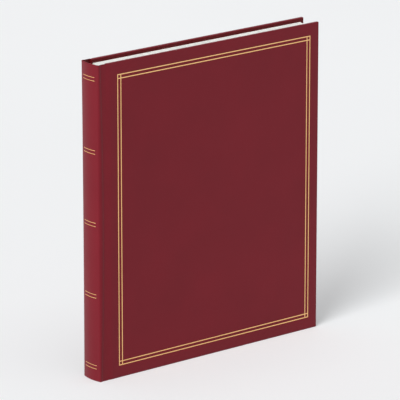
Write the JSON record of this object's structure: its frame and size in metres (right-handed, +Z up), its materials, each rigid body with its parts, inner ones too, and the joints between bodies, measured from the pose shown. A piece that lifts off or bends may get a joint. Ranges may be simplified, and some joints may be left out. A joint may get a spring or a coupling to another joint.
{
  "type": "stamp album",
  "caption": "Case-bound stamp album in dark red leatherette with gold lines; covers and leaves fold open on upright joints, and the leaves carry clear strip pockets.",
  "frame": {"origin": "on the standing surface, below the middle of the closed album's box", "axes": "+X from the spine to the fore-edge, +Y from the front cover to the back cover, +Z up"},
  "size_m": [0.2644, 0.026, 0.305],
  "materials": {
    "leatherette": "satin",
    "gold_foil": "satin",
    "board": "matte",
    "spine_card": "matte",
    "endpaper": "matte",
    "flyleaf": "matte",
    "leaf_card": "matte",
    "clear_film": "gloss",
    "linen": "matte",
    "stub_card": "matte",
    "lining_cloth": "matte",
    "thread": "matte"
  },
  "bodies": {
    "spine": {"spine_board": "spine_card", "spine_leather": "leatherette", "spine_gold_bands": "gold_foil", "binding_stubs": "stub_card", "spine_lining": "lining_cloth", "sewing_thread": "thread"},
    "front_cover": {"front_board": "board", "front_cover_leather": "leatherette", "front_gold_border": "gold_foil", "front_endpaper": "endpaper"},
    "back_cover": {"back_board": "board", "back_cover_leather": "leatherette", "back_endpaper": "endpaper"},
    "front_flyleaf": {"front_flyleaf": "flyleaf"},
    "back_flyleaf": {"back_flyleaf": "flyleaf"},
    "leaf_01": {"leaf_01": "leaf_card", "leaf_hinge_01": "linen", "leaf_pockets_01": "clear_film"},
    "leaf_02": {"leaf_02": "leaf_card", "leaf_hinge_02": "linen", "leaf_pockets_02": "clear_film"},
    "leaf_03": {"leaf_03": "leaf_card", "leaf_hinge_03": "linen", "leaf_pockets_03": "clear_film"},
    "leaf_04": {"leaf_04": "leaf_card", "leaf_hinge_04": "linen", "leaf_pockets_04": "clear_film"},
    "leaf_05": {"leaf_05": "leaf_card", "leaf_hinge_05": "linen", "leaf_pockets_05": "clear_film"},
    "leaf_06": {"leaf_06": "leaf_card", "leaf_hinge_06": "linen", "leaf_pockets_06": "clear_film"},
    "leaf_07": {"leaf_07": "leaf_card", "leaf_hinge_07": "linen", "leaf_pockets_07": "clear_film"},
    "leaf_08": {"leaf_08": "leaf_card", "leaf_hinge_08": "linen", "leaf_pockets_08": "clear_film"},
    "leaf_09": {"leaf_09": "leaf_card", "leaf_hinge_09": "linen", "leaf_pockets_09": "clear_film"},
    "leaf_10": {"leaf_10": "leaf_card", "leaf_hinge_10": "linen", "leaf_pockets_10": "clear_film"},
    "leaf_11": {"leaf_11": "leaf_card", "leaf_hinge_11": "linen", "leaf_pockets_11": "clear_film"},
    "leaf_12": {"leaf_12": "leaf_card", "leaf_hinge_12": "linen", "leaf_pockets_12": "clear_film"},
    "leaf_13": {"leaf_13": "leaf_card", "leaf_hinge_13": "linen", "leaf_pockets_13": "clear_film"},
    "leaf_14": {"leaf_14": "leaf_card", "leaf_hinge_14": "linen", "leaf_pockets_14": "clear_film"}
  },
  "joints": [
    {"name": "front_cover_fold", "type": "hinge", "parent": "spine", "child": "front_cover", "pos_m": [-0.1252, -0.01192, 0.1525], "axis": [0, 0, -1], "range_deg": [0, 105]},
    {"name": "back_cover_fold", "type": "hinge", "parent": "spine", "child": "back_cover", "pos_m": [-0.1252, 0.01192, 0.1525], "axis": [0, 0, 1], "range_deg": [0, 105]},
    {"name": "front_flyleaf_fold", "type": "hinge", "parent": "spine", "child": "front_flyleaf", "pos_m": [-0.1252, -0.00925, 0.1525], "axis": [0, 0, -1], "range_deg": [0, 77]},
    {"name": "back_flyleaf_fold", "type": "hinge", "parent": "spine", "child": "back_flyleaf", "pos_m": [-0.1252, 0.00925, 0.1525], "axis": [0, 0, 1], "range_deg": [0, 77]},
    {"name": "leaf_01_fold", "type": "hinge", "parent": "spine", "child": "leaf_01", "pos_m": [-0.1252, -0.00845, 0.1525], "axis": [0, 0, -1], "range_deg": [0, 66]},
    {"name": "leaf_02_fold", "type": "hinge", "parent": "spine", "child": "leaf_02", "pos_m": [-0.1252, -0.00715, 0.1525], "axis": [0, 0, -1], "range_deg": [0, 56]},
    {"name": "leaf_03_fold", "type": "hinge", "parent": "spine", "child": "leaf_03", "pos_m": [-0.1252, -0.00585, 0.1525], "axis": [0, 0, -1], "range_deg": [0, 46]},
    {"name": "leaf_04_fold", "type": "hinge", "parent": "spine", "child": "leaf_04", "pos_m": [-0.1252, -0.00455, 0.1525], "axis": [0, 0, -1], "range_deg": [0, 36]},
    {"name": "leaf_05_fold", "type": "hinge", "parent": "spine", "child": "leaf_05", "pos_m": [-0.1252, -0.00325, 0.1525], "axis": [0, 0, -1], "range_deg": [0, 26]},
    {"name": "leaf_06_fold", "type": "hinge", "parent": "spine", "child": "leaf_06", "pos_m": [-0.1252, -0.00195, 0.1525], "axis": [0, 0, -1], "range_deg": [0, 16]},
    {"name": "leaf_07_fold", "type": "hinge", "parent": "spine", "child": "leaf_07", "pos_m": [-0.1252, -0.00065, 0.1525], "axis": [0, 0, -1], "range_deg": [0, 6]},
    {"name": "leaf_08_fold", "type": "hinge", "parent": "spine", "child": "leaf_08", "pos_m": [-0.1252, 0.00065, 0.1525], "axis": [0, 0, 1], "range_deg": [0, 6]},
    {"name": "leaf_09_fold", "type": "hinge", "parent": "spine", "child": "leaf_09", "pos_m": [-0.1252, 0.00195, 0.1525], "axis": [0, 0, 1], "range_deg": [0, 16]},
    {"name": "leaf_10_fold", "type": "hinge", "parent": "spine", "child": "leaf_10", "pos_m": [-0.1252, 0.00325, 0.1525], "axis": [0, 0, 1], "range_deg": [0, 26]},
    {"name": "leaf_11_fold", "type": "hinge", "parent": "spine", "child": "leaf_11", "pos_m": [-0.1252, 0.00455, 0.1525], "axis": [0, 0, 1], "range_deg": [0, 36]},
    {"name": "leaf_12_fold", "type": "hinge", "parent": "spine", "child": "leaf_12", "pos_m": [-0.1252, 0.00585, 0.1525], "axis": [0, 0, 1], "range_deg": [0, 46]},
    {"name": "leaf_13_fold", "type": "hinge", "parent": "spine", "child": "leaf_13", "pos_m": [-0.1252, 0.00715, 0.1525], "axis": [0, 0, 1], "range_deg": [0, 56]},
    {"name": "leaf_14_fold", "type": "hinge", "parent": "spine", "child": "leaf_14", "pos_m": [-0.1252, 0.00845, 0.1525], "axis": [0, 0, 1], "range_deg": [0, 66]}
  ],
  "couplings": [
    {"joint": "front_flyleaf_fold", "follows": "front_cover_fold", "ratio": 0.72381},
    {"joint": "back_flyleaf_fold", "follows": "back_cover_fold", "ratio": 0.72381},
    {"joint": "leaf_01_fold", "follows": "front_cover_fold", "ratio": 0.61905},
    {"joint": "leaf_02_fold", "follows": "front_cover_fold", "ratio": 0.52381},
    {"joint": "leaf_03_fold", "follows": "front_cover_fold", "ratio": 0.42857},
    {"joint": "leaf_04_fold", "follows": "front_cover_fold", "ratio": 0.33333},
    {"joint": "leaf_05_fold", "follows": "front_cover_fold", "ratio": 0.2381},
    {"joint": "leaf_06_fold", "follows": "front_cover_fold", "ratio": 0.14286},
    {"joint": "leaf_07_fold", "follows": "front_cover_fold", "ratio": 0.047619},
    {"joint": "leaf_08_fold", "follows": "back_cover_fold", "ratio": 0.047619},
    {"joint": "leaf_09_fold", "follows": "back_cover_fold", "ratio": 0.14286},
    {"joint": "leaf_10_fold", "follows": "back_cover_fold", "ratio": 0.2381},
    {"joint": "leaf_11_fold", "follows": "back_cover_fold", "ratio": 0.33333},
    {"joint": "leaf_12_fold", "follows": "back_cover_fold", "ratio": 0.42857},
    {"joint": "leaf_13_fold", "follows": "back_cover_fold", "ratio": 0.52381},
    {"joint": "leaf_14_fold", "follows": "back_cover_fold", "ratio": 0.61905}
  ]
}
